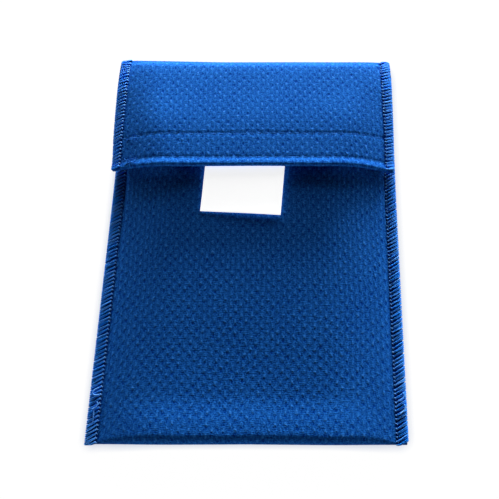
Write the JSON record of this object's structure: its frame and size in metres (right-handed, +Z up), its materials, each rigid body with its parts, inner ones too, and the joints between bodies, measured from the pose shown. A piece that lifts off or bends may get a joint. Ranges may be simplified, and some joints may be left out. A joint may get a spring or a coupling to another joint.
{
  "type": "insulin cooling case",
  "caption": "Flat woven fabric cooling case with a fold-over hook-and-loop flap, overlocked side edges and a removable quilted inner pouch of gel cells.",
  "frame": {"origin": "centre of the case's footprint, on the surface it lies on", "axes": "+Z up out of the flap side, +Y towards the top fold, +X to the right seen from the front"},
  "size_m": [0.1154, 0.155, 0.014],
  "materials": {
    "cover_cloth": "royal blue dobby-woven polyester, matt with a soft sheen on the floats",
    "overlock_thread": "spun polyester sewing thread, a lighter blue",
    "closure_tape": "navy hook-and-loop tape, matt",
    "satin_label": "white satin-woven tape, bare, soft sheen",
    "pouch_cloth": "navy plain-woven poly-cotton, matt",
    "pouch_binding": "navy folded binding tape, matt",
    "water_gel": "soaked water-absorbing polymer crystals, translucent"
  },
  "bodies": {
    "outer_cover": {"back_panel": "cover_cloth", "front_panel": "cover_cloth", "left_side_seam": "overlock_thread", "right_side_seam": "overlock_thread", "loop_tape": "closure_tape"},
    "fold": {"top_fold": "cover_cloth", "top_fold_left_seam": "overlock_thread", "top_fold_right_seam": "overlock_thread"},
    "flap": {"flap_panel": "cover_cloth", "flap_left_seam": "overlock_thread", "flap_right_seam": "overlock_thread", "hook_tape": "closure_tape", "label_tab": "satin_label"},
    "inner_pouch": {"pouch_front_skin": "pouch_cloth", "pouch_front_lining": "pouch_cloth", "pouch_back_lining": "pouch_cloth", "pouch_back_skin": "pouch_cloth", "front_gel_cell_1": "water_gel", "front_gel_cell_2": "water_gel", "front_gel_cell_3": "water_gel", "front_gel_cell_4": "water_gel", "front_gel_cell_5": "water_gel", "back_gel_cell_1": "water_gel", "back_gel_cell_2": "water_gel", "back_gel_cell_3": "water_gel", "back_gel_cell_4": "water_gel", "back_gel_cell_5": "water_gel", "pouch_left_seam": "overlock_thread", "pouch_right_seam": "overlock_thread", "pouch_bottom_seam": "overlock_thread", "pouch_front_binding": "pouch_binding", "pouch_back_binding": "pouch_binding"}
  },
  "joints": [
    {"name": "fold_hinge", "type": "hinge", "parent": "outer_cover", "child": "fold", "pos_m": [0, 0.0752, 0.0021], "axis": [-1, 0, 0], "range_deg": [0, 88], "deforming": ["top_fold", "top_fold_left_seam", "top_fold_right_seam"]},
    {"name": "flap_hinge", "type": "hinge", "parent": "fold", "child": "flap", "pos_m": [0, 0.0752, 0.0107], "axis": [-1, 0, 0], "range_deg": [0, 88]},
    {"name": "pouch_slide", "type": "slide", "parent": "outer_cover", "child": "inner_pouch", "axis": [0, 1, 0], "range_m": [0, 0.232]}
  ],
  "couplings": [
    {"joint": "flap_hinge", "follows": "fold_hinge", "ratio": 1}
  ]
}
